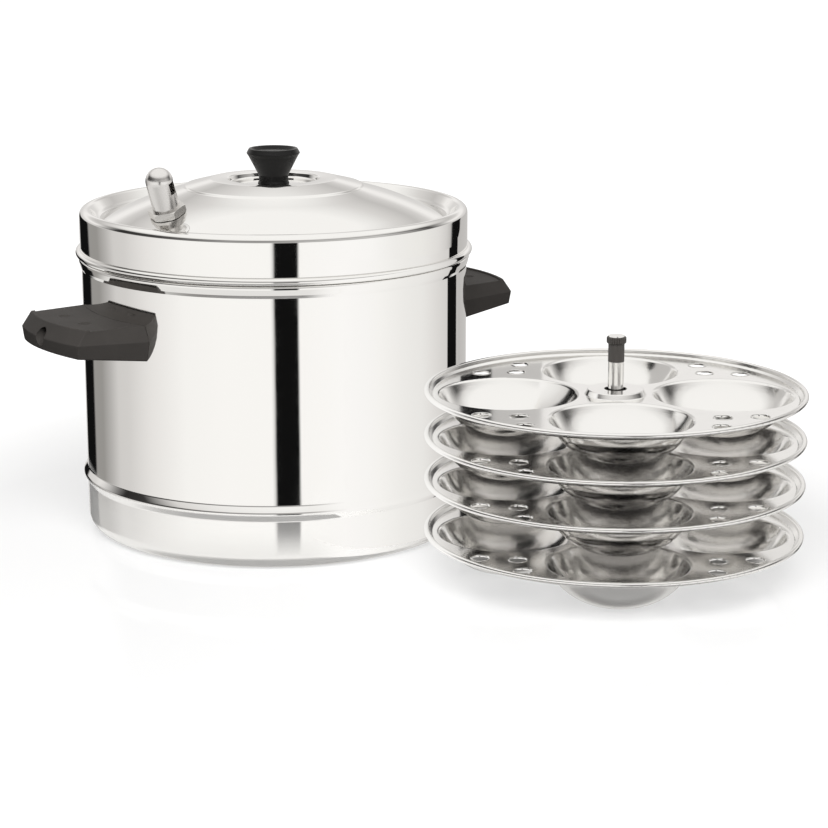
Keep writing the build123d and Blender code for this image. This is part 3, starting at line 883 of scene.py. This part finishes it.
# %% The pot's outline
pot_reach = 110.0
pot_height = 157.6
pot_sheet = 1.0
rib_height = 32.3
half_rib = 4.3
rib_depth = 2.6
rim_depth = 6.8
rim_reach = 1.5
pot_wall = sheet_outline(
    [
        (0.0, 0.0),
        (pot_reach, 0.0),
        (pot_reach, rib_height - half_rib),
        (pot_reach + rib_depth, rib_height),
        (pot_reach, rib_height + half_rib),
        (pot_reach, pot_height - rim_depth / 2),
    ],
    [9.0, 2.0, 2.4, 2.0],
    pot_sheet,
    1,
)
pot_rim = (
    [
        (pot_reach - pot_sheet, pot_height - rim_depth),
        (pot_reach, pot_height - rim_depth),
        (pot_reach + rim_reach / 2, pot_height - rim_depth * 0.75),
        (pot_reach + rim_reach, pot_height - rim_depth * 0.30),
        (pot_reach + rim_reach, pot_height),
        (pot_reach - pot_sheet, pot_height),
    ],
    [0.0, 0.0, 1.3, 1.3, 1.3, 0.0],
)
path_reach = 100.0
pot_shell = spun("spun_pot", [pot_wall, pot_rim], pot_steel, path_reach)
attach(pot_shell, "pot")
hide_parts("pot_body")
compare(pot_shell, "pot_body")

# %% [markdown]
# ## The lid
# The lid is one disc too. From the middle outward it has a recess for the knob, a raised crown, the
# dome in two slopes, a gutter, a rounded ridge and a straight wall, and it ends in a plug that goes
# inside the pot. A bead is rolled into the wall's foot.

# %% The lid's outline
lid_reach = pot_reach + 0.6
lid_sheet = 0.8
seat = pot_height + 0.3
ridge = seat + 26.7
gutter = ridge - 7.2
ridge_width = 5.6
gutter_width = 5.5
gutter_reach = lid_reach - ridge_width - gutter_width
crown = ridge + 15.4
recess = crown - 3.1
crown_foot_reach = 50.4
crown_fall = 3.6
dome_reach = crown_foot_reach + 0.8
dome_top = crown - crown_fall - 1.2
knee = crown - 11.4
knee_share = 0.472
knee_reach = dome_reach + (gutter_reach - dome_reach) * knee_share
outer_slope = (knee - gutter) / (gutter_reach - knee_reach)
inner_slope = (dome_top - knee) / (knee_reach - dome_reach)
dome_blend = 13.2
dome_bend = dome_blend / tan((atan2(outer_slope, 1.0) - atan2(inner_slope, 1.0)) / 2)
plug_gap = 0.4
plug_reach = pot_reach - pot_sheet - plug_gap
lid_line = sheet_outline(
    [
        (2.8, recess),
        (25.2, recess),
        (26.0, crown),
        (36.0, crown),
        (crown_foot_reach, crown - crown_fall),
        (dome_reach, dome_top),
        (knee_reach, knee),
        (gutter_reach, gutter),
        (gutter_reach + gutter_width, ridge),
        (lid_reach, ridge),
        (lid_reach, seat),
        (plug_reach, seat),
        (plug_reach, seat - 7.4),
    ],
    [1.2, 1.2, 3.0, 1.0, 1.0, dome_bend, 4.0, 2.5, 4.0, 0.9, 0.9],
    lid_sheet,
    -1,
)
bead = 2.0
bead_reach = lid_reach + 2.6 - bead
bead_steps = 28
bead_turns = [2 * pi * place / bead_steps for place in range(bead_steps)]
bead_side = [(bead_reach + bead * cos(turn), seat + bead + bead * sin(turn)) for turn in bead_turns]
lid_shell = spun("spun_lid", [lid_line, (bead_side, [0.0] * bead_steps)], pot_steel, path_reach)
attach(lid_shell, "lid")
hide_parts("lid_shell")
compare(lid_shell, "lid_shell")

# %% [markdown]
# The whistle's stem stands on the dome's slope, a little in from the gutter. A flat pad is pressed up
# there so that the seal and the collar meet the sheet squarely, and the pad leans with them.

# %% The vent's pad
vent_inset = 8.5
vent_lean = degrees(atan2(outer_slope, 1.0)) - 3.7
pad_ring = ([(6.55, -1.6), (9.5, -1.6), (9.5, 0.8), (6.55, 0.8)], [0.0, 0.0, 0.6, 0.0])
vent_pad = spun("vent_pad", [pad_ring], pot_steel, path_reach=8.0, steps=120, corner_steps=5)
vent_bearing = radians(-157.6)
vent_reach = gutter_reach - vent_inset
vent_height = gutter + vent_inset * outer_slope
vent_foot = Vector((vent_reach * cos(vent_bearing), vent_reach * sin(vent_bearing), vent_height))
vent_turn = Matrix.Rotation(vent_bearing, 4, "Z") @ Matrix.Rotation(radians(vent_lean), 4, "Y")
vent_pad.data.transform(Matrix.Translation(vent_foot * MM) @ vent_turn)
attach(vent_pad, "lid")
print("vent pad stands at", [round(v, 1) for v in vent_foot])

# %% [markdown]
# ## The plates' rolled rims and punched lips
# Each plate's edge is rolled back into a round bead, and each steam hole was punched from above, which
# pulls its edge down into a small lip. The solids have the bead as a few dozen flat strips, and strips
# break up a highlight, so a smooth ring is laid over them. Both repeat on every plate, so one Geometry
# Nodes tree makes them: a circle swept round the rim, and a small ring set on a point at each hole.


# %% The tree for a plate's edges
def edge_tree():
    """Builds the tree. Its inputs are lengths in metres and angles in radians."""
    tree = bpy.data.node_groups.new("plate_edges", "GeometryNodeTree")
    for name in (
        "Rim Reach",
        "Rim Thickness",
        "Rim Height",
        "Inner Hole Reach",
        "Outer Hole Reach",
        "Hole Spread",
        "Lip Reach",
        "Lip Thickness",
        "Gap Bearing",
    ):
        tree.interface.new_socket(name, in_out="INPUT", socket_type="NodeSocketFloat")
    tree.interface.new_socket("Place", in_out="INPUT", socket_type="NodeSocketVector")
    tree.interface.new_socket("Finish", in_out="INPUT", socket_type="NodeSocketMaterial")
    tree.interface.new_socket("Geometry", in_out="OUTPUT", socket_type="NodeSocketGeometry")
    given = node(tree, "NodeGroupInput").outputs

    def ring(reach, thickness, steps, sides):
        path = node(tree, "GeometryNodeCurvePrimitiveCircle", inputs={"Resolution": steps, "Radius": reach})
        section = node(
            tree,
            "GeometryNodeCurvePrimitiveCircle",
            inputs={"Resolution": sides, "Radius": thickness},
        )
        return node(
            tree,
            "GeometryNodeCurveToMesh",
            inputs={0: path.outputs[0], "Profile Curve": section.outputs[0]},
        )

    rim = ring(given["Rim Reach"], given["Rim Thickness"], steps=360, sides=20)
    raised = node(tree, "ShaderNodeCombineXYZ", inputs={"Z": given["Rim Height"]})
    rim_set = node(
        tree,
        "GeometryNodeTransform",
        inputs={0: rim.outputs[0], "Translation": raised.outputs[0]},
    )
    lip = ring(given["Lip Reach"], given["Lip Thickness"], steps=40, sides=8)
    pair = {0: given["Gap Bearing"], 1: given["Hole Spread"]}
    left = node(tree, "ShaderNodeMath", {"operation": "SUBTRACT"}, pair)
    right = node(tree, "ShaderNodeMath", {"operation": "ADD"}, pair)
    spots = node(tree, "GeometryNodeJoinGeometry")
    for reach, angle in (
        (given["Inner Hole Reach"], given["Gap Bearing"]),
        (given["Outer Hole Reach"], left.outputs[0]),
        (given["Outer Hole Reach"], right.outputs[0]),
    ):
        four = node(tree, "GeometryNodeMeshCircle", inputs={"Vertices": 4, "Radius": reach})
        turn = node(tree, "ShaderNodeCombineXYZ", inputs={"Z": angle})
        turned = node(tree, "GeometryNodeTransform", inputs={0: four.outputs[0], "Rotation": turn.outputs[0]})
        tree.links.new(turned.outputs[0], spots.inputs[0])
    lips = node(
        tree,
        "GeometryNodeInstanceOnPoints",
        inputs={"Points": spots.outputs[0], "Instance": lip.outputs[0]},
    )
    both = node(tree, "GeometryNodeJoinGeometry")
    tree.links.new(rim_set.outputs[0], both.inputs[0])
    tree.links.new(lips.outputs[0], both.inputs[0])
    placed = node(tree, "GeometryNodeTransform", inputs={0: both.outputs[0], "Translation": given["Place"]})
    real = node(tree, "GeometryNodeRealizeInstances", inputs={0: placed.outputs[0]})
    painted = node(tree, "GeometryNodeSetMaterial", inputs={0: real.outputs[0], "Material": given["Finish"]})
    node(tree, "NodeGroupOutput", inputs={0: painted.outputs[0]})
    return tree


plate_edges = edge_tree()
print("inputs:", [item.name for item in plate_edges.interface.items_tree if item.in_out == "INPUT"])

# %% Edges of the four plates
plate_body = {
    "plate_1": "upper_plate",
    "plate_2": "middle_plate",
    "plate_3": "lower_plate",
    "plate_4": "rack",
}
rim_bead = 1.4
rim_rise = 3.5
ring_overlap = 0.01
cup_bearing = radians(-35.5)
for name, body in plate_body.items():
    low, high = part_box(name)
    rim_reach = (high.x - low.x) / 2
    edges = grown(
        name + "_edges",
        plate_edges,
        {
            "Rim Reach": rim_reach - (rim_bead + ring_overlap) * MM,
            "Rim Thickness": (rim_bead + ring_overlap) * MM,
            "Rim Height": (rim_rise - rim_bead) * MM,
            "Inner Hole Reach": rim_reach - 28.5 * MM,
            "Outer Hole Reach": rim_reach - 15.0 * MM,
            "Hole Spread": radians(10.2),
            "Lip Reach": 5.0 * MM,
            "Lip Thickness": 0.35 * MM,
            "Gap Bearing": cup_bearing + radians(45.0),
            "Place": ((low.x + high.x) / 2, (low.y + high.y) / 2, high.z - rim_rise * MM),
            "Finish": rack_steel,
        },
    )
    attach(edges, body)
    print(edges.name, "faces:", len(edges.data.polygons))

# %% [markdown]
# ## Finish
# The view layer is updated once more.

# %% Finish
bpy.context.view_layer.update()
